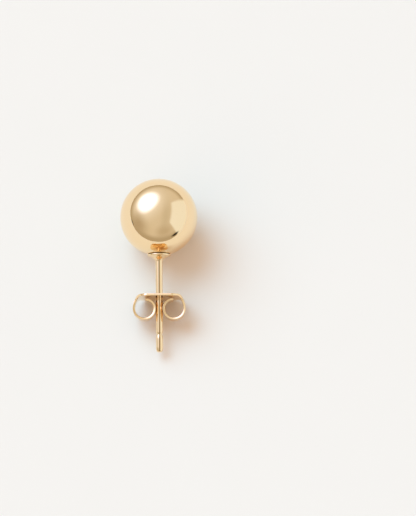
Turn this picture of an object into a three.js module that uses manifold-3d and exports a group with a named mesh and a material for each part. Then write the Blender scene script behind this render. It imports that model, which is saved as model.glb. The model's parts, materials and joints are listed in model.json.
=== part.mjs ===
// A ball stud earring with a butterfly clutch, lying on its ball and on the lower edge of the clutch plate.
// Millimetres, +Z up. The ball is towards +Y and the tip of the post towards -Y.
import * as THREE from "three";
import { mergeVertices } from "three/addons/utils/BufferGeometryUtils.js";
import Module from "manifold-3d";

// Ball: a thin shell, drilled at the pole that faces the post
const BALL_RADIUS = 4.0;
const BALL_WALL = 0.25;
const PEG_HOLE_RADIUS = 0.42;

// Post: a wire from inside the ball to the tip, with a flared cup soldered on under the ball
const WIRE_RADIUS = 0.36;
const POST_LENGTH = 10.0; // from the ball's skin to the tip
const PEG_DEPTH = 0.8; // of wire inside the ball
const SEAT_GAP = 0.05; // between the ball and its cup
const CUP_RADIUS = 1.19;
const CUP_LIP = 0.16; // thickness of the cup at its rim
const CUP_HEIGHT = 0.55; // from the ball's skin to where the flare meets the wire
const FLARE_BEND_RADIUS = 0.47; // where the cup's rim and the wire would meet if the flare were sharp
const FLARE_BEND_HEIGHT = 0.22;
const GROOVE_FROM_TIP = 1.8;
const GROOVE_DEPTH = 0.07;
const GROOVE_HALF_WIDTH = 0.2;
const TIP_SWELL = 0.01; // how far the end piece stands proud of the wire
const TIP_SHOULDER = 0.5; // length over which the end piece swells out of the groove
const TIP_ROUNDING = 0.5; // length of the rounded end
const TIP_FLAT_RADIUS = 0.14;

// Clutch: a strip with a round plate in its middle, trimmed flat along two edges, and rolled up at each end
const CLUTCH_SETBACK = 4.15; // from the ball's skin to the front of the plate
const STRIP_THICKNESS = 0.25;
const PLATE_RADIUS = 2.65;
const PLATE_HALF_WIDTH = 2.25; // from the axis to a trimmed edge
const ARM_HALF_WIDTH = 0.95;
const ARM_END_HALF_WIDTH = 0.7;
const RUNNING_GAP = 0.06; // between the post and the clutch
const FUNNEL_RADIUS = 0.52; // of the post hole's rounded mouth
const FUNNEL_DEPTH = 0.1;

// One arm's middle line from the plate's middle to the free end: straight runs, and bends towards the tip
const ARM_RUNS = [
  { name: "half plate", length: 1.878 },
  { name: "shoulder", radius: 0.475, sweep: 55 },
  { name: "outer side", radius: 1.85, sweep: 35 },
  { name: "lower roll", radius: 1.07, sweep: 180 },
  { name: "inner curl", radius: 0.92, sweep: 88 },
  { name: "free end", length: 0.1 },
];

// Facets
const BALL_SEGMENTS = 48;
const OUTER_SKIN_STEPS = 20;
const INNER_SKIN_STEPS = 12;
const WIRE_SEGMENTS = 24;
const WIRE_CURVE_STEPS = 5;
const STRIP_STEPS = 120;
const STRIP_COLUMNS = 10;
const COLUMN_CROWDING = 1.6; // above 1, columns crowd towards the strip's middle line

const wasm = await Module();
wasm.setup();

function toSolid(geometry) {
  const bare = geometry.clone();
  bare.deleteAttribute("normal");
  bare.deleteAttribute("uv");
  const merged = mergeVertices(bare, 1e-4);
  const mesh = new wasm.Mesh({
    numProp: 3,
    vertProperties: merged.attributes.position.array,
    triVerts: Uint32Array.from(merged.index.array),
  });
  return new wasm.Manifold(mesh);
}

function toGeometry(solid) {
  const mesh = solid.getMesh();
  const geometry = new THREE.BufferGeometry();
  geometry.setAttribute("position", new THREE.BufferAttribute(mesh.vertProperties, 3));
  geometry.setIndex(new THREE.BufferAttribute(mesh.triVerts, 1));
  geometry.computeVertexNormals();
  return geometry;
}

function makePiece(name, geometry, color, roughness) {
  const gold = new THREE.MeshStandardMaterial({ color, roughness, metalness: 1 });
  const piece = new THREE.Mesh(geometry, gold);
  piece.name = name;
  return piece;
}

// The shell's section: outer skin from the hole to the far pole, then inner skin back to the hole
function makeBall() {
  const innerRadius = BALL_RADIUS - BALL_WALL;
  const outerStart = -Math.acos(PEG_HOLE_RADIUS / BALL_RADIUS);
  const innerEnd = -Math.acos(PEG_HOLE_RADIUS / innerRadius);
  const outer = new THREE.Path().absarc(0, 0, BALL_RADIUS, outerStart, Math.PI / 2);
  const inner = new THREE.Path().absarc(0, 0, innerRadius, Math.PI / 2, innerEnd, true);
  const outerSkin = outer.getSpacedPoints(OUTER_SKIN_STEPS);
  const innerSkin = inner.getSpacedPoints(INNER_SKIN_STEPS);
  const section = [...outerSkin, ...innerSkin, outerSkin[0]];
  return makePiece("ball", new THREE.LatheGeometry(section, BALL_SEGMENTS), 0xe6c08a, 0.08);
}

// The post's section, from the peg's end inside the ball to the tip
function makePost() {
  const seatRadius = BALL_RADIUS + SEAT_GAP;
  const seatStart = -Math.acos(WIRE_RADIUS / seatRadius);
  const seatEnd = -Math.acos(CUP_RADIUS / seatRadius);
  const pegEnd = -(BALL_RADIUS - PEG_DEPTH);
  const lip = seatRadius * Math.sin(seatEnd) - CUP_LIP;
  const flareBend = -(BALL_RADIUS + FLARE_BEND_HEIGHT);
  const flareEnd = -(BALL_RADIUS + CUP_HEIGHT);
  const tip = -(BALL_RADIUS + POST_LENGTH);
  const groove = tip + GROOVE_FROM_TIP;
  const grooveRadius = WIRE_RADIUS - GROOVE_DEPTH;
  const tipRadius = WIRE_RADIUS + TIP_SWELL;
  const section = new THREE.Path();
  section.moveTo(0, pegEnd);
  section.lineTo(WIRE_RADIUS, pegEnd);
  section.absarc(0, 0, seatRadius, seatStart, seatEnd);
  section.lineTo(CUP_RADIUS, lip);
  section.quadraticCurveTo(FLARE_BEND_RADIUS, flareBend, WIRE_RADIUS, flareEnd);
  section.lineTo(WIRE_RADIUS, groove + GROOVE_HALF_WIDTH);
  section.quadraticCurveTo(grooveRadius, groove + GROOVE_HALF_WIDTH / 2, grooveRadius, groove);
  section.quadraticCurveTo(tipRadius, groove - TIP_SHOULDER / 3, tipRadius, groove - TIP_SHOULDER);
  section.lineTo(tipRadius, tip + TIP_ROUNDING);
  section.quadraticCurveTo(tipRadius, tip, TIP_FLAT_RADIUS, tip);
  section.lineTo(0, tip);
  const fromTip = section.getPoints(WIRE_CURVE_STEPS).reverse();
  return makePiece("post", new THREE.LatheGeometry(fromTip, WIRE_SEGMENTS), 0xe2b878, 0.15);
}

function runLength(run) {
  return run.radius ? run.radius * THREE.MathUtils.degToRad(run.sweep) : run.length;
}

const ARM_LENGTH = ARM_RUNS.reduce((sum, run) => sum + runLength(run), 0);
const FLAT_LENGTH = runLength(ARM_RUNS[0]);

// The point and the outward normal of the arm's middle line at a distance along it
function armAt(distance) {
  const point = new THREE.Vector2(0, 0);
  let heading = 0;
  let left = distance;
  for (const run of ARM_RUNS) {
    const step = Math.min(left, runLength(run));
    if (run.radius) {
      const turned = heading - step / run.radius;
      point.x += run.radius * (Math.sin(heading) - Math.sin(turned));
      point.y += run.radius * (Math.cos(turned) - Math.cos(heading));
      heading = turned;
    } else {
      point.x += step * Math.cos(heading);
      point.y += step * Math.sin(heading);
    }
    left -= step;
  }
  return { point, normal: new THREE.Vector2(-Math.sin(heading), Math.cos(heading)) };
}

// Half the strip's width at a distance from the plate's middle: the trimmed round plate, then a tapering arm
function halfWidthAt(distance) {
  const arm = THREE.MathUtils.lerp(ARM_HALF_WIDTH, ARM_END_HALF_WIDTH, distance / ARM_LENGTH);
  const plate = Math.sqrt(Math.max(PLATE_RADIUS ** 2 - distance ** 2, 0));
  return Math.max(arm, Math.min(plate, PLATE_HALF_WIDTH));
}

// The flat strip is cut to its outline, rolled up, and pressed round the post where it passes it
function makeRolledStrip() {
  const strip = new THREE.BoxGeometry(2 * ARM_LENGTH, STRIP_THICKNESS, 2, STRIP_STEPS, 1, STRIP_COLUMNS);
  const place = strip.attributes.position;
  for (let i = 0; i < place.count; i += 1) {
    const side = Math.sign(place.getX(i));
    const distance = Math.abs(place.getX(i));
    const offset = place.getY(i);
    const column = place.getZ(i);
    const across = Math.sign(column) * Math.abs(column) ** COLUMN_CROWDING * halfWidthAt(distance);
    const { point, normal } = armAt(distance);
    let x = point.x + offset * normal.x;
    const y = point.y + offset * normal.y;
    const pressRadius = WIRE_RADIUS + RUNNING_GAP + STRIP_THICKNESS / 2 - offset;
    if (distance > FLAT_LENGTH && Math.abs(across) < pressRadius) {
      x = Math.max(x, Math.sqrt(pressRadius ** 2 - across ** 2));
    }
    place.setXYZ(i, side * x, y, across);
  }
  return strip;
}

// The post hole: a bore through the plate with a funnel at its mouth
function makeClutch() {
  const holeRadius = WIRE_RADIUS + RUNNING_GAP;
  const bore = new THREE.CylinderGeometry(holeRadius, holeRadius, 2 * STRIP_THICKNESS, WIRE_SEGMENTS);
  const mouthRadius = 2 * FUNNEL_RADIUS - holeRadius;
  const funnel = new THREE.CylinderGeometry(mouthRadius, holeRadius, 2 * FUNNEL_DEPTH, WIRE_SEGMENTS);
  funnel.translate(0, STRIP_THICKNESS / 2, 0);
  const solid = toSolid(makeRolledStrip()).subtract(toSolid(bore)).subtract(toSolid(funnel));
  return makePiece("clutch", toGeometry(solid), 0xdcae66, 0.2);
}

const stud = new THREE.Group();
stud.add(makeBall(), makePost());

const plateBack = BALL_RADIUS + CLUTCH_SETBACK + STRIP_THICKNESS;
const clutch = makeClutch();
clutch.position.y = STRIP_THICKNESS / 2 - plateBack;

// The earring leans down from the ball until the back edge of the plate meets the surface
const leaning = new THREE.Group();
leaning.rotation.x = Math.asin(BALL_RADIUS / Math.hypot(plateBack, PLATE_HALF_WIDTH))
  - Math.atan2(PLATE_HALF_WIDTH, plateBack);
leaning.position.z = BALL_RADIUS;
leaning.add(stud, clutch);
const reach = new THREE.Box3().setFromObject(leaning, true);
leaning.position.y = -(reach.min.y + reach.max.y) / 2;

const earring = new THREE.Group();
earring.add(leaning);

export default earring;
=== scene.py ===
import json
import math

import bmesh
import bpy
from mathutils import Matrix, Vector


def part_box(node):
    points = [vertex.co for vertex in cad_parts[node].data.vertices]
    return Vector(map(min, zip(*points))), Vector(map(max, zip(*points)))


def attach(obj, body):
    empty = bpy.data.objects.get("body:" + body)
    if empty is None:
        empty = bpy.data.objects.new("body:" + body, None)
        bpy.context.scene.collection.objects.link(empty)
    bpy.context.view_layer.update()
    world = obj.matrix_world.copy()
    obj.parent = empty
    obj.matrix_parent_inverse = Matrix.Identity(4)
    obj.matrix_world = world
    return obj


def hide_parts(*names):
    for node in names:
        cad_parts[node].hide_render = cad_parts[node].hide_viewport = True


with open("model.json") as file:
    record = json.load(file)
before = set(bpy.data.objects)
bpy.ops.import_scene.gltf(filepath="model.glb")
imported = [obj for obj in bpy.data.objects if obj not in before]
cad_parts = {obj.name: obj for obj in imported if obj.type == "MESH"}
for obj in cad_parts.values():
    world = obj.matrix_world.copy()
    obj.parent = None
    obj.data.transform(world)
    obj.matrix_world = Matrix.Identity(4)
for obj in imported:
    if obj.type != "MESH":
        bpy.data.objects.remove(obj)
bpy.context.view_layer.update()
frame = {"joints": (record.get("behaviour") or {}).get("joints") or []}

# The ball
# A hollow ball of thin gold sheet: two pressed half shells, soldered together and polished to a mirror.
# A small hole at its back pole takes the peg of the post.
MM = 0.001
BALL_RADIUS = 4.0 * MM
BALL_WALL = 0.25 * MM
PEG_HOLE_RADIUS = 0.42 * MM
HOLE_CUT = 0.7 * PEG_HOLE_RADIUS  # points nearer the pole than this are taken out, which opens the hole
BALL_MERIDIANS = 128
BALL_PARALLELS = 64
PALE_GOLD = (0.972, 0.757, 0.478, 1.0)
DEEP_GOLD = (0.965, 0.735, 0.440, 1.0)
BALL_RIPPLE = 0.0006 * MM

to_ball = Vector(frame["joints"][0]["axis"]).normalized()
ball_low, ball_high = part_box("ball")
ball_centre = (ball_low + ball_high) / 2

# Pieces are made round a line through the ball's centre: x across, y up from the line, z towards the tip
sideways = Vector((1, 0, 0))
upwards = sideways.cross(to_ball)
on_axis = Matrix.Translation(ball_centre) @ Matrix((sideways, upwards, -to_ball)).transposed().to_4x4()


def add_node(tree, kind, inputs=None, **options):
    """Add a node, set its options, and set or link its inputs by name or number."""
    node = tree.nodes.new(kind)
    for option, value in options.items():
        setattr(node, option, value)
    for socket, value in (inputs or {}).items():
        if isinstance(value, bpy.types.NodeSocket):
            tree.links.new(value, node.inputs[socket])
        else:
            node.inputs[socket].default_value = value
    return node


def start_group(name, inputs, outputs):
    """Start a shader node group; inputs and outputs are pairs of a socket's name and kind."""
    group = bpy.data.node_groups.new(name, "ShaderNodeTree")
    for way, sockets in (("INPUT", inputs), ("OUTPUT", outputs)):
        for socket_name, kind in sockets:
            group.interface.new_socket(socket_name, in_out=way, socket_type=f"NodeSocket{kind}")
    return group, group.nodes.new("NodeGroupInput").outputs, group.nodes.new("NodeGroupOutput").inputs


def make_gold_tone():
    """Gold that drifts slowly between a paler and a deeper tone, as plated metal does."""
    group, given, result = start_group(
        "gold_tone",
        [("Vector", "Vector"), ("Scale", "Float"), ("Pale", "Color"), ("Deep", "Color")],
        [("Color", "Color")],
    )
    drift = add_node(
        group, "ShaderNodeTexNoise", {"Vector": given["Vector"], "Scale": given["Scale"], "Detail": 3}
    )
    share = add_node(
        group, "ShaderNodeMapRange", {"Value": drift.outputs["Fac"], "From Min": 0.35, "From Max": 0.65}
    )
    tone = add_node(
        group,
        "ShaderNodeMix",
        {"Factor": share.outputs["Result"], 6: given["Pale"], 7: given["Deep"]},
        data_type="RGBA",
    )
    group.links.new(tone.outputs[2], result["Color"])
    return group


def make_handled_polish():
    """Polish with faint duller patches from handling, and the ripple and fine marks that are left in it."""
    group, given, result = start_group(
        "handled_polish",
        [("Vector", "Vector"), ("Patch Scale", "Float"), ("Mark Scale", "Float"), ("Mark Share", "Float"),
         ("Polished", "Float"), ("Dulled", "Float")],
        [("Roughness", "Float"), ("Height", "Float")],
    )
    patches = add_node(
        group, "ShaderNodeTexNoise", {"Vector": given["Vector"], "Scale": given["Patch Scale"], "Detail": 4}
    )
    marks = add_node(
        group, "ShaderNodeTexNoise", {"Vector": given["Vector"], "Scale": given["Mark Scale"], "Detail": 2}
    )
    blend = add_node(
        group,
        "ShaderNodeMix",
        {"Factor": given["Mark Share"], 2: patches.outputs["Fac"], 3: marks.outputs["Fac"]},
        data_type="FLOAT",
    )
    roughness = add_node(
        group,
        "ShaderNodeMapRange",
        {"Value": blend.outputs[0], "From Min": 0.3, "From Max": 0.7,
         "To Min": given["Polished"], "To Max": given["Dulled"]},
    )
    group.links.new(roughness.outputs["Result"], result["Roughness"])
    group.links.new(blend.outputs[0], result["Height"])
    return group


gold_tone = make_gold_tone()
handled_polish = make_handled_polish()


def make_gold(name, turn, stretch, tone, polish, relief, uv_map=None):
    """A gold surface: a tone and a polish, turned and stretched on the piece to follow how it was made."""
    material = bpy.data.materials.new(name)
    material.use_nodes = True
    tree = material.node_tree
    tree.nodes.clear()
    if uv_map:
        place = add_node(tree, "ShaderNodeUVMap", uv_map=uv_map).outputs["UV"]
    else:
        place = add_node(tree, "ShaderNodeTexCoord").outputs["Object"]
    laid = add_node(
        tree, "ShaderNodeMapping", {"Vector": place, "Rotation": turn, "Scale": stretch}
    ).outputs["Vector"]
    colour = add_node(tree, "ShaderNodeGroup", node_tree=gold_tone)
    finish = add_node(tree, "ShaderNodeGroup", node_tree=handled_polish)
    for node, values in ((colour, tone), (finish, polish)):
        tree.links.new(laid, node.inputs["Vector"])
        for socket, value in values.items():
            node.inputs[socket].default_value = value
    bump = add_node(tree, "ShaderNodeBump", {"Height": finish.outputs["Height"], "Distance": relief})
    surface = add_node(
        tree,
        "ShaderNodeBsdfPrincipled",
        {"Base Color": colour.outputs["Color"], "Roughness": finish.outputs["Roughness"],
         "Metallic": 1.0, "Normal": bump.outputs["Normal"]},
    )
    add_node(tree, "ShaderNodeOutputMaterial", {"Surface": surface.outputs["BSDF"]})
    return material


def make_piece(name, bm, material):
    """Turn a bmesh into a smooth piece that sits at the origin."""
    mesh = bpy.data.meshes.new(name)
    bm.to_mesh(mesh)
    bm.free()
    mesh.shade_smooth()
    mesh.materials.append(material)
    piece = bpy.data.objects.new(name, mesh)
    bpy.context.scene.collection.objects.link(piece)
    return piece


mirror_gold = make_gold(
    "mirror_polished_gold",
    turn=(0, 0, 0),
    stretch=(1, 1, 1),
    tone={"Scale": 180, "Pale": PALE_GOLD, "Deep": DEEP_GOLD},
    polish={"Patch Scale": 350, "Mark Scale": 5000, "Mark Share": 0.15, "Polished": 0.012, "Dulled": 0.045},
    relief=BALL_RIPPLE,
)

ball_mesh = bmesh.new()
bmesh.ops.create_uvsphere(
    ball_mesh, u_segments=BALL_MERIDIANS, v_segments=BALL_PARALLELS, radius=BALL_RADIUS
)
in_hole = [v for v in ball_mesh.verts if v.co.z > 0 and v.co.xy.length < HOLE_CUT]
bmesh.ops.delete(ball_mesh, geom=in_hole, context="VERTS")
bmesh.ops.transform(ball_mesh, matrix=on_axis, verts=ball_mesh.verts)
polished_ball = make_piece("polished_ball", ball_mesh, mirror_gold)
shell = polished_ball.modifiers.new("sheet", "SOLIDIFY")
shell.thickness = BALL_WALL
shell.offset = -1
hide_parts("ball")
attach(polished_ball, "stud")

# The post
# A drawn gold wire with a flared cup soldered on under the ball. Its peg goes into the ball, and near its
# rounded tip a turned groove catches the clutch.
WIRE_RADIUS = 0.36 * MM
TIP_STATION = 14.0 * MM
PEG_STATION = 3.2 * MM
SEAT_RADIUS = 4.05 * MM
CUP_RADIUS = 1.19 * MM
CUP_LIP = 0.16 * MM
FLARE_BEND = (0.47 * MM, 4.22 * MM)
FLARE_END = 4.55 * MM
GROOVE_STATION = 12.2 * MM
GROOVE_RADIUS = 0.29 * MM
GROOVE_HALF_WIDTH = 0.2 * MM
TIP_RADIUS = 0.37 * MM
TIP_SHOULDER = 0.5 * MM
TIP_ROUNDING = 0.5 * MM
TIP_FLAT_RADIUS = 0.14 * MM
POST_TURNS = 64
CURVE_STEPS = 12
POST_EDGE = 0.025 * MM
EDGE_SEGMENTS = 3
SHARP_ANGLE = math.radians(40)
MERGE_DISTANCE = 1e-4 * MM
EASING = 0.06 * MM  # from the end of a bend to the ring of points that keeps the wire beside it straight
WIRE_PALE_GOLD = (0.968, 0.745, 0.462, 1)
WIRE_DEEP_GOLD = (0.958, 0.712, 0.412, 1)
WIRE_RELIEF = 0.0005 * MM
# A painted reflection: a dark streak laid into the wire's colour along its top, where the polished wire
# mirrors a dark band overhead.
PAINTED_TOP_REFLECTION = (0.46, 0.30, 0.15, 1)
PAINTED_REFLECTION_EDGE = (0.035 * MM, 0.085 * MM)
PAINTED_REFLECTION_DEPTH = WIRE_RADIUS / 4


def seat_curve(steps):
    """The cup's hollow, which follows the ball, as radius and station pairs from the wire to the rim."""
    start = math.asin(WIRE_RADIUS / SEAT_RADIUS)
    end = math.asin(CUP_RADIUS / SEAT_RADIUS)
    angles = [start + (end - start) * step / steps for step in range(steps + 1)]
    return [(SEAT_RADIUS * math.sin(angle), SEAT_RADIUS * math.cos(angle)) for angle in angles]


def bend(start, corner, end, steps):
    """A smooth bend between two points of the outline that leaves and arrives towards their corner."""
    points = []
    for step in range(1, steps + 1):
        t = step / steps
        near, middle, far = (1 - t) ** 2, 2 * t * (1 - t), t ** 2
        points.append(tuple(near * a + middle * b + far * c for a, b, c in zip(start, corner, end)))
    return points


hollow = seat_curve(CURVE_STEPS)
rim = (CUP_RADIUS, hollow[-1][1] + CUP_LIP)
groove_start = (WIRE_RADIUS, GROOVE_STATION - GROOVE_HALF_WIDTH)
groove_floor = (GROOVE_RADIUS, GROOVE_STATION)
shoulder = (TIP_RADIUS, GROOVE_STATION + TIP_SHOULDER)
rounding = (TIP_RADIUS, TIP_STATION - TIP_ROUNDING)
tip_flat = (TIP_FLAT_RADIUS, TIP_STATION)
outline = [
    (0, PEG_STATION),
    (WIRE_RADIUS, PEG_STATION),
    *hollow,
    rim,
    *bend(rim, FLARE_BEND, (WIRE_RADIUS, FLARE_END), CURVE_STEPS),
    (WIRE_RADIUS, FLARE_END + EASING),
    (WIRE_RADIUS, groove_start[1] - EASING),
    groove_start,
    *bend(groove_start, (GROOVE_RADIUS, GROOVE_STATION - GROOVE_HALF_WIDTH / 2), groove_floor, CURVE_STEPS),
    *bend(groove_floor, (TIP_RADIUS, GROOVE_STATION + TIP_SHOULDER / 3), shoulder, CURVE_STEPS),
    (TIP_RADIUS, shoulder[1] + EASING),
    (TIP_RADIUS, rounding[1] - EASING),
    rounding,
    *bend(rounding, (TIP_RADIUS, TIP_STATION), tip_flat, CURVE_STEPS),
    (0, TIP_STATION),
]

wire_gold = make_gold(
    "drawn_wire_gold",
    turn=(math.atan2(to_ball.z, to_ball.y), 0, 0),
    stretch=(1, 0.04, 1),
    tone={"Scale": 400, "Pale": WIRE_PALE_GOLD, "Deep": WIRE_DEEP_GOLD},
    polish={"Patch Scale": 900, "Mark Scale": 16000, "Mark Share": 0.6, "Polished": 0.015, "Dulled": 0.05},
    relief=WIRE_RELIEF,
)


def add_painted_top_reflection(material):
    """Paint a fine dark line into the colour along the top of the wire: a painted reflection of a dark band
    overhead, which the polished wire mirrors there.
    """
    tree = material.node_tree
    surface = next(node for node in tree.nodes if node.type == "BSDF_PRINCIPLED")
    gold = surface.inputs["Base Color"].links[0].from_socket
    place = add_node(tree, "ShaderNodeTexCoord").outputs["Object"]
    from_ball = add_node(tree, "ShaderNodeVectorMath", {0: place, 1: ball_centre}, operation="SUBTRACT")
    across, above = (
        add_node(tree, "ShaderNodeVectorMath", {0: from_ball.outputs[0], 1: way}, operation="DOT_PRODUCT")
        for way in (sideways, upwards)
    )
    aside = add_node(tree, "ShaderNodeMath", {0: across.outputs["Value"]}, operation="ABSOLUTE")
    line = add_node(
        tree,
        "ShaderNodeMapRange",
        {"Value": aside.outputs[0], "From Min": PAINTED_REFLECTION_EDGE[0], "From Max": PAINTED_REFLECTION_EDGE[1],
         "To Min": 1, "To Max": 0},
        interpolation_type="SMOOTHSTEP",
    )
    wire_top = add_node(
        tree,
        "ShaderNodeMath",
        {0: above.outputs["Value"], 1: WIRE_RADIUS, 2: PAINTED_REFLECTION_DEPTH},
        operation="COMPARE",
    )
    mask = add_node(
        tree, "ShaderNodeMath", {0: line.outputs[0], 1: wire_top.outputs[0]}, operation="MULTIPLY"
    )
    # The painted reflection is mixed over the gold colour here.
    tone = add_node(
        tree, "ShaderNodeMix", {"Factor": mask.outputs[0], 6: gold, 7: PAINTED_TOP_REFLECTION}, data_type="RGBA"
    )
    tree.links.new(tone.outputs[2], surface.inputs["Base Color"])


# The wire's colour gets a painted reflection, a dark streak along its top.
add_painted_top_reflection(wire_gold)


def spin_outline(bm, points, turns):
    """Spin an outline of radius and station pairs once round the line through the ball's centre."""
    verts = [bm.verts.new((radius, 0, station)) for radius, station in points]
    edges = [bm.edges.new(pair) for pair in zip(verts, verts[1:])]
    bmesh.ops.spin(
        bm, geom=verts + edges, cent=(0, 0, 0), axis=(0, 0, 1), angle=math.tau, steps=turns, use_merge=True
    )


post_mesh = bmesh.new()
spin_outline(post_mesh, outline, POST_TURNS)
bmesh.ops.remove_doubles(post_mesh, verts=post_mesh.verts, dist=MERGE_DISTANCE)
bmesh.ops.recalc_face_normals(post_mesh, faces=post_mesh.faces)
bmesh.ops.transform(post_mesh, matrix=on_axis, verts=post_mesh.verts)
cupped_post = make_piece("cupped_post", post_mesh, wire_gold)


def round_edges(piece, width):
    """Round the sharp edges of a piece, as tumbling and polishing leave them."""
    edge = piece.modifiers.new("rounded_edges", "BEVEL")
    edge.width = width
    edge.segments = EDGE_SEGMENTS
    edge.limit_method = "ANGLE"
    edge.angle_limit = SHARP_ANGLE


round_edges(cupped_post, POST_EDGE)
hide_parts("post")
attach(cupped_post, "stud")

# The clutch
# One strip stamped from gold sheet, with a wide plate in its middle. The post hole is punched through the
# plate, and both ends are rolled into scrolls that are pressed hollow where they pass the post.
STRIP_THICKNESS = 0.25 * MM
PLATE_STATION = 8.275 * MM
PLATE_RADIUS = 2.65 * MM
PLATE_HALF_WIDTH = 2.25 * MM
ARM_HALF_WIDTH = 0.95 * MM
ARM_END_HALF_WIDTH = 0.7 * MM
RUNNING_GAP = 0.06 * MM
HOLE_RING = 0.3 * MM
RING_TOLERANCE = 0.01 * MM
STEPS_ALONG = 136
STEPS_ACROSS = 16
CROWDING = 1.3
HOLE_STEPS = (8, 4)
EDGE_SLOPE = 0.06 * MM
SLOPE_RUN = (2.3 * MM, 3.2 * MM)
RIM_SHARE = 0.99  # points past this share of the half width lie on the strip's edge
STRIP_EDGE = 0.08 * MM
STRIP_PALE_GOLD = (0.966, 0.736, 0.452, 1)
STRIP_DEEP_GOLD = (0.952, 0.695, 0.392, 1)
STRIP_RELIEF = 0.002 * MM
ARM_RUNS = (
    {"name": "half plate", "length": 1.878 * MM},
    {"name": "shoulder", "radius": 0.475 * MM, "sweep": math.radians(55)},
    {"name": "outer side", "radius": 1.85 * MM, "sweep": math.radians(35)},
    {"name": "lower roll", "radius": 1.07 * MM, "sweep": math.radians(180)},
    {"name": "inner curl", "radius": 0.92 * MM, "sweep": math.radians(88)},
    {"name": "free end", "length": 0.1 * MM},
)


def run_length(run):
    return run["radius"] * run["sweep"] if "radius" in run else run["length"]


arm_length = sum(run_length(run) for run in ARM_RUNS)


def arm_at(distance):
    """The point on an arm's middle line at a distance from the plate's middle, and its heading there."""
    x = y = heading = 0.0
    left = distance
    for run in ARM_RUNS:
        step = min(left, run_length(run))
        if "radius" in run:
            turned = heading - step / run["radius"]
            x += run["radius"] * (math.sin(heading) - math.sin(turned))
            y += run["radius"] * (math.cos(turned) - math.cos(heading))
            heading = turned
        else:
            x += step * math.cos(heading)
            y += step * math.sin(heading)
        left -= step
    return x, y, heading


def half_width_at(distance):
    """Half the strip's width: the trimmed round plate, then an arm that tapers to its free end."""
    arm = ARM_HALF_WIDTH + (ARM_END_HALF_WIDTH - ARM_HALF_WIDTH) * distance / arm_length
    plate = math.sqrt(max(PLATE_RADIUS ** 2 - distance ** 2, 0))
    return max(arm, min(plate, PLATE_HALF_WIDTH))


def roll_up(place):
    """Where a point of the flat strip goes once the arm is rolled and pressed round the post."""
    distance = abs(place.x)
    x, y, heading = arm_at(distance)
    x += place.z * math.sin(heading)
    y -= place.z * math.cos(heading)
    press = WIRE_RADIUS + RUNNING_GAP + STRIP_THICKNESS / 2 + place.z
    if distance > run_length(ARM_RUNS[0]) and abs(place.y) < press:
        x = max(x, math.sqrt(press ** 2 - place.y ** 2))
    return Vector((math.copysign(x, place.x), place.y, PLATE_STATION - y))


stamped_gold = make_gold(
    "stamped_strip_gold",
    turn=(0, 0, 0),
    stretch=(0.15, 1, 1),
    tone={"Scale": 0.6, "Pale": STRIP_PALE_GOLD, "Deep": STRIP_DEEP_GOLD},
    polish={"Patch Scale": 1.4, "Mark Scale": 14, "Mark Share": 0.5, "Polished": 0.03, "Dulled": 0.10},
    relief=STRIP_RELIEF,
    uv_map="strip",
)

# The flat blank: x along the strip, y across it, z towards the tip
blank = bmesh.new()
bmesh.ops.create_grid(blank, x_segments=STEPS_ALONG, y_segments=STEPS_ACROSS, size=1)
patch_half = Vector((2 * HOLE_STEPS[0] / STEPS_ALONG, 2 * HOLE_STEPS[1] / STEPS_ACROSS))
patch = [
    face for face in blank.faces
    if abs(face.calc_center_median().x) < patch_half.x and abs(face.calc_center_median().y) < patch_half.y
]
bmesh.ops.delete(blank, geom=patch, context="FACES")
for vert in blank.verts:
    vert.co.x *= arm_length
    vert.co.y = math.copysign(abs(vert.co.y) ** CROWDING, vert.co.y) * half_width_at(abs(vert.co.x))
patch_edges = [
    edge for edge in blank.edges
    if edge.is_boundary and all(abs(v.co.x) < PLATE_HALF_WIDTH / 2 and abs(v.co.y) < PLATE_HALF_WIDTH / 2
                                for v in edge.verts)
]

# The post hole: a ring of flat metal is spun round it and joined to the edges of the cleared patch
hole_radius = WIRE_RADIUS + RUNNING_GAP
ring_radius = hole_radius + HOLE_RING
spin_outline(blank, [(hole_radius, 0), (ring_radius, 0)], len(patch_edges))
ring_edges = [
    edge for edge in blank.edges
    if edge.is_boundary and all(abs(v.co.xy.length - ring_radius) < RING_TOLERANCE for v in edge.verts)
]
bmesh.ops.bridge_loops(blank, edges=patch_edges + ring_edges)
bmesh.ops.recalc_face_normals(blank, faces=blank.faces)

# The sheet gets its thickness. Its edges slope in, on one side of the sheet along the plate and on the other
# side along the arms.
bmesh.ops.solidify(blank, geom=blank.faces[:], thickness=STRIP_THICKNESS)
levels = [vert.co.z for vert in blank.verts]
bmesh.ops.translate(blank, vec=(0, 0, -(min(levels) + max(levels)) / 2), verts=blank.verts)
for vert in blank.verts:
    if abs(vert.co.y) > RIM_SHARE * half_width_at(abs(vert.co.x)):
        share = (abs(vert.co.x) - SLOPE_RUN[0]) / (SLOPE_RUN[1] - SLOPE_RUN[0])
        share = min(max(share, 0), 1)
        vert.co.y -= math.copysign(EDGE_SLOPE * (share if vert.co.z > 0 else 1 - share), vert.co.y)

strip_map = blank.loops.layers.uv.new("strip")
for face in blank.faces:
    for loop in face.loops:
        loop[strip_map].uv = loop.vert.co.xy / MM
for vert in blank.verts:
    vert.co = roll_up(vert.co)
bmesh.ops.transform(blank, matrix=on_axis, verts=blank.verts)
bmesh.ops.recalc_face_normals(blank, faces=blank.faces)
butterfly_clutch = make_piece("butterfly_clutch", blank, stamped_gold)
round_edges(butterfly_clutch, STRIP_EDGE)
smoothing = butterfly_clutch.modifiers.new("smoothing", "SUBSURF")
smoothing.levels = 1
smoothing.render_levels = 1
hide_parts("clutch")
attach(butterfly_clutch, "clutch")

# The floor
# A plain sheet of pale card that the earring lies on, with the faintest mottle of paper.
FLOOR_LEFT_RIGHT = 300 * MM
FLOOR_FRONT = -37 * MM
FLOOR_BACK = 300 * MM
CARD_DARK = (0.794, 0.784, 0.782, 1)
CARD_LIGHT = (0.806, 0.796, 0.794, 1)

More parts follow.
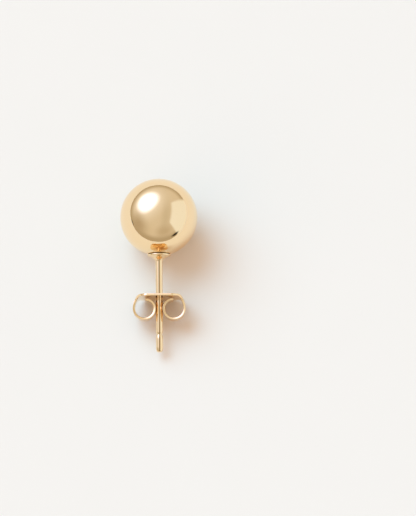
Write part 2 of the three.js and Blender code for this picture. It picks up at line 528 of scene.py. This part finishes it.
card = bpy.data.materials.new("pale_card")
card.use_nodes = True
card_tree = card.node_tree
card_tree.nodes.clear()
card_place = add_node(card_tree, "ShaderNodeTexCoord").outputs["Object"]
mottle = add_node(card_tree, "ShaderNodeTexNoise", {"Vector": card_place, "Scale": 90, "Detail": 2})
card_colour = add_node(
    card_tree,
    "ShaderNodeMix",
    {"Factor": mottle.outputs["Fac"], 6: CARD_DARK, 7: CARD_LIGHT},
    data_type="RGBA",
)
card_surface = add_node(
    card_tree,
    "ShaderNodeBsdfPrincipled",
    {"Base Color": card_colour.outputs[2], "Roughness": 0.9, "Specular IOR Level": 0.1},
)
add_node(card_tree, "ShaderNodeOutputMaterial", {"Surface": card_surface.outputs["BSDF"]})

floor_mesh = bmesh.new()
bmesh.ops.create_grid(floor_mesh, x_segments=1, y_segments=1, size=1)
floor_half_depth = (FLOOR_BACK - FLOOR_FRONT) / 2
floor_middle = (FLOOR_BACK + FLOOR_FRONT) / 2
bmesh.ops.scale(floor_mesh, vec=(FLOOR_LEFT_RIGHT, floor_half_depth, 1), verts=floor_mesh.verts)
bmesh.ops.translate(floor_mesh, vec=(0, floor_middle, 0), verts=floor_mesh.verts)
make_piece("card_floor", floor_mesh, card)

# The studio light
# The gold mirrors a pale tent with a large cool lamp high at the back left, a white panel on the right and
# two dim gaps above the floor. The card is lit apart from that, by a warm room with a lamp in the same place,
# and the camera sees plain ground past the card.
TENT_TOP = (0.724, 0.672, 0.590, 1)
TENT_FOOT = (0.485, 0.420, 0.325, 1)
LAMP = (2.2, 2.4, 3.6, 1)
GLOW = (1.0, 1.03, 1.12, 1)
PANEL = (0.925, 0.965, 0.99, 1)
SHADE = (0.64, 0.59, 0.50, 1)
CORNER = (0.50, 0.43, 0.33, 1)
FRONT = (0.57, 0.50, 0.40, 1)
DIM = (0.03, 0.025, 0.02, 1)
ROOM = (0.79, 0.60, 0.455, 1)
ROOM_SIDE = (1.7, 1.1, 0.75, 1)
ROOM_LAMP = (3.0, 4.55, 5.45, 1)
GROUND = (0.913, 0.905, 0.871, 1)
ACROSS_LAMP = (0.7, 0.7, 0.0)
FORWARDS = (0, 1, 0)
OVERHEAD = (0, 0, 1)
PANEL_SHIFT = 0.1
PANEL_SIDE_EDGE = (0.74, 0.98)
PANEL_TOP_EDGE = (1.02, 1.48)
FOOT_EDGE = (-0.02, 0.30)

studio = bpy.data.worlds.new("soft_studio")
studio.use_nodes = True
sky = studio.node_tree
sky.nodes.clear()
looking = add_node(sky, "ShaderNodeTexCoord").outputs["Generated"]


def work_out(operation, *values):
    return add_node(sky, "ShaderNodeMath", dict(enumerate(values)), operation=operation).outputs[0]


def fade(value, start, end):
    """A smooth step that falls from 1 at start to 0 at end."""
    step = add_node(
        sky,
        "ShaderNodeMapRange",
        {"Value": value, "From Min": start, "From Max": end, "To Min": 1, "To Max": 0},
        interpolation_type="SMOOTHSTEP",
    )
    return step.outputs["Result"]


def soft_spot(toward, along, half_along, half_side, softness):
    """A mask for an oval patch of the surroundings: 1 inside, fading to 0 across its soft edge."""
    toward = Vector(toward).normalized()
    along = Vector(along)
    along = (along - along.dot(toward) * toward).normalized()
    side = toward.cross(along)
    reach = [
        add_node(sky, "ShaderNodeVectorMath", {0: looking, 1: way}, operation="DOT_PRODUCT").outputs["Value"]
        for way in (along / half_along, side / half_side, toward)
    ]
    flat = add_node(sky, "ShaderNodeCombineXYZ", {0: reach[0], 1: reach[1]})
    off = add_node(sky, "ShaderNodeVectorMath", {0: flat.outputs[0]}, operation="LENGTH")
    edge = fade(off.outputs["Value"], 1 - softness, 1 + softness)
    return work_out("MULTIPLY", edge, work_out("GREATER_THAN", reach[2], 0))


def lay_over(below, above, mask):
    return add_node(sky, "ShaderNodeMix", {"Factor": mask, 6: below, 7: above}, data_type="RGBA").outputs[2]


def choose(mask, unmarked, marked):
    return add_node(
        sky, "ShaderNodeMixShader", {0: mask, 1: unmarked.outputs[0], 2: marked.outputs[0]}
    )


heading = add_node(sky, "ShaderNodeSeparateXYZ", {0: looking}).outputs
along_panel = work_out("ADD", work_out("DIVIDE", heading["Y"], heading["X"]), PANEL_SHIFT)
up_panel = work_out("DIVIDE", heading["Z"], heading["X"])
on_panel = work_out(
    "MULTIPLY", fade(work_out("ABSOLUTE", along_panel), *PANEL_SIDE_EDGE), fade(up_panel, *PANEL_TOP_EDGE)
)
on_panel = work_out("MULTIPLY", on_panel, work_out("GREATER_THAN", heading["X"], 0))
on_lamp = soft_spot((-0.50, 0.474, 0.724), ACROSS_LAMP, half_along=0.44, half_side=0.38, softness=0.5)
on_glow = soft_spot((-0.50, 0.44, 0.74), ACROSS_LAMP, half_along=0.60, half_side=0.54, softness=0.7)
on_shade = soft_spot((0.38, -0.32, 0.87), FORWARDS, half_along=0.75, half_side=0.20, softness=0.9)
on_front = soft_spot((0.27, -0.83, 0.40), OVERHEAD, half_along=0.26, half_side=0.34, softness=0.9)
on_corner = soft_spot((-0.88, -0.40, 0.26), OVERHEAD, half_along=0.36, half_side=0.42, softness=0.9)
on_right_gap = soft_spot((0.67, -0.74, 0.0), OVERHEAD, half_along=0.06, half_side=0.16, softness=0.5)
on_left_gap = soft_spot((-0.98, -0.17, -0.04), OVERHEAD, half_along=0.06, half_side=0.12, softness=0.6)
on_room_side = soft_spot((-0.75, -0.55, 0.35), OVERHEAD, half_along=0.4, half_side=0.6, softness=0.6)

mirrored = lay_over(TENT_TOP, SHADE, on_shade)
mirrored = lay_over(mirrored, FRONT, on_front)
mirrored = lay_over(mirrored, GLOW, on_glow)
mirrored = lay_over(mirrored, LAMP, on_lamp)
mirrored = lay_over(mirrored, CORNER, on_corner)
mirrored = lay_over(mirrored, TENT_FOOT, fade(heading["Z"], *FOOT_EDGE))
mirrored = lay_over(mirrored, PANEL, on_panel)
mirrored = lay_over(mirrored, DIM, on_right_gap)
mirrored = lay_over(mirrored, DIM, on_left_gap)
fill = lay_over(lay_over(ROOM, ROOM_SIDE, on_room_side), ROOM_LAMP, on_lamp)

tent = add_node(sky, "ShaderNodeBackground", {"Color": mirrored})
room = add_node(sky, "ShaderNodeBackground", {"Color": fill})
ground = add_node(sky, "ShaderNodeBackground", {"Color": GROUND})
path = add_node(sky, "ShaderNodeLightPath").outputs
cast = choose(path["Is Glossy Ray"], room, tent)
shown = choose(path["Is Camera Ray"], cast, ground)
add_node(sky, "ShaderNodeOutputWorld", {"Surface": shown.outputs[0]})
bpy.context.scene.world = studio
bpy.context.scene.view_settings.view_transform = "Standard"

# The camera
# It looks down from the tip's side at the photograph's angle, with the ball where the photograph has it.
IMAGE_SIZE = (416, 516)
BALL_PIXEL = (158.8, 217.4)
PIXELS_PER_METRE = 9.68 / MM
CAMERA_ELEVATION = math.radians(69.8)
CAMERA_ROLL = math.radians(0.45)
CAMERA_DISTANCE = 320 * MM
SENSOR = 36

back = Vector((0, -math.cos(CAMERA_ELEVATION), math.sin(CAMERA_ELEVATION)))
level_up = back.cross(sideways)
right = sideways * math.cos(CAMERA_ROLL) - level_up * math.sin(CAMERA_ROLL)
up = sideways * math.sin(CAMERA_ROLL) + level_up * math.cos(CAMERA_ROLL)
aim = ball_centre
aim = aim + right * (IMAGE_SIZE[0] / 2 - BALL_PIXEL[0]) / PIXELS_PER_METRE
aim = aim - up * (IMAGE_SIZE[1] / 2 - BALL_PIXEL[1]) / PIXELS_PER_METRE
lens = bpy.data.cameras.new("camera")
lens.sensor_width = SENSOR
lens.lens = SENSOR * CAMERA_DISTANCE / (IMAGE_SIZE[1] / PIXELS_PER_METRE)
lens.clip_start = 1 * MM
lens.clip_end = 2
camera = bpy.data.objects.new("camera", lens)
camera.matrix_world = (
    Matrix.Translation(aim + back * CAMERA_DISTANCE) @ Matrix((right, up, back)).transposed().to_4x4()
)
bpy.context.scene.collection.objects.link(camera)
bpy.context.scene.camera = camera
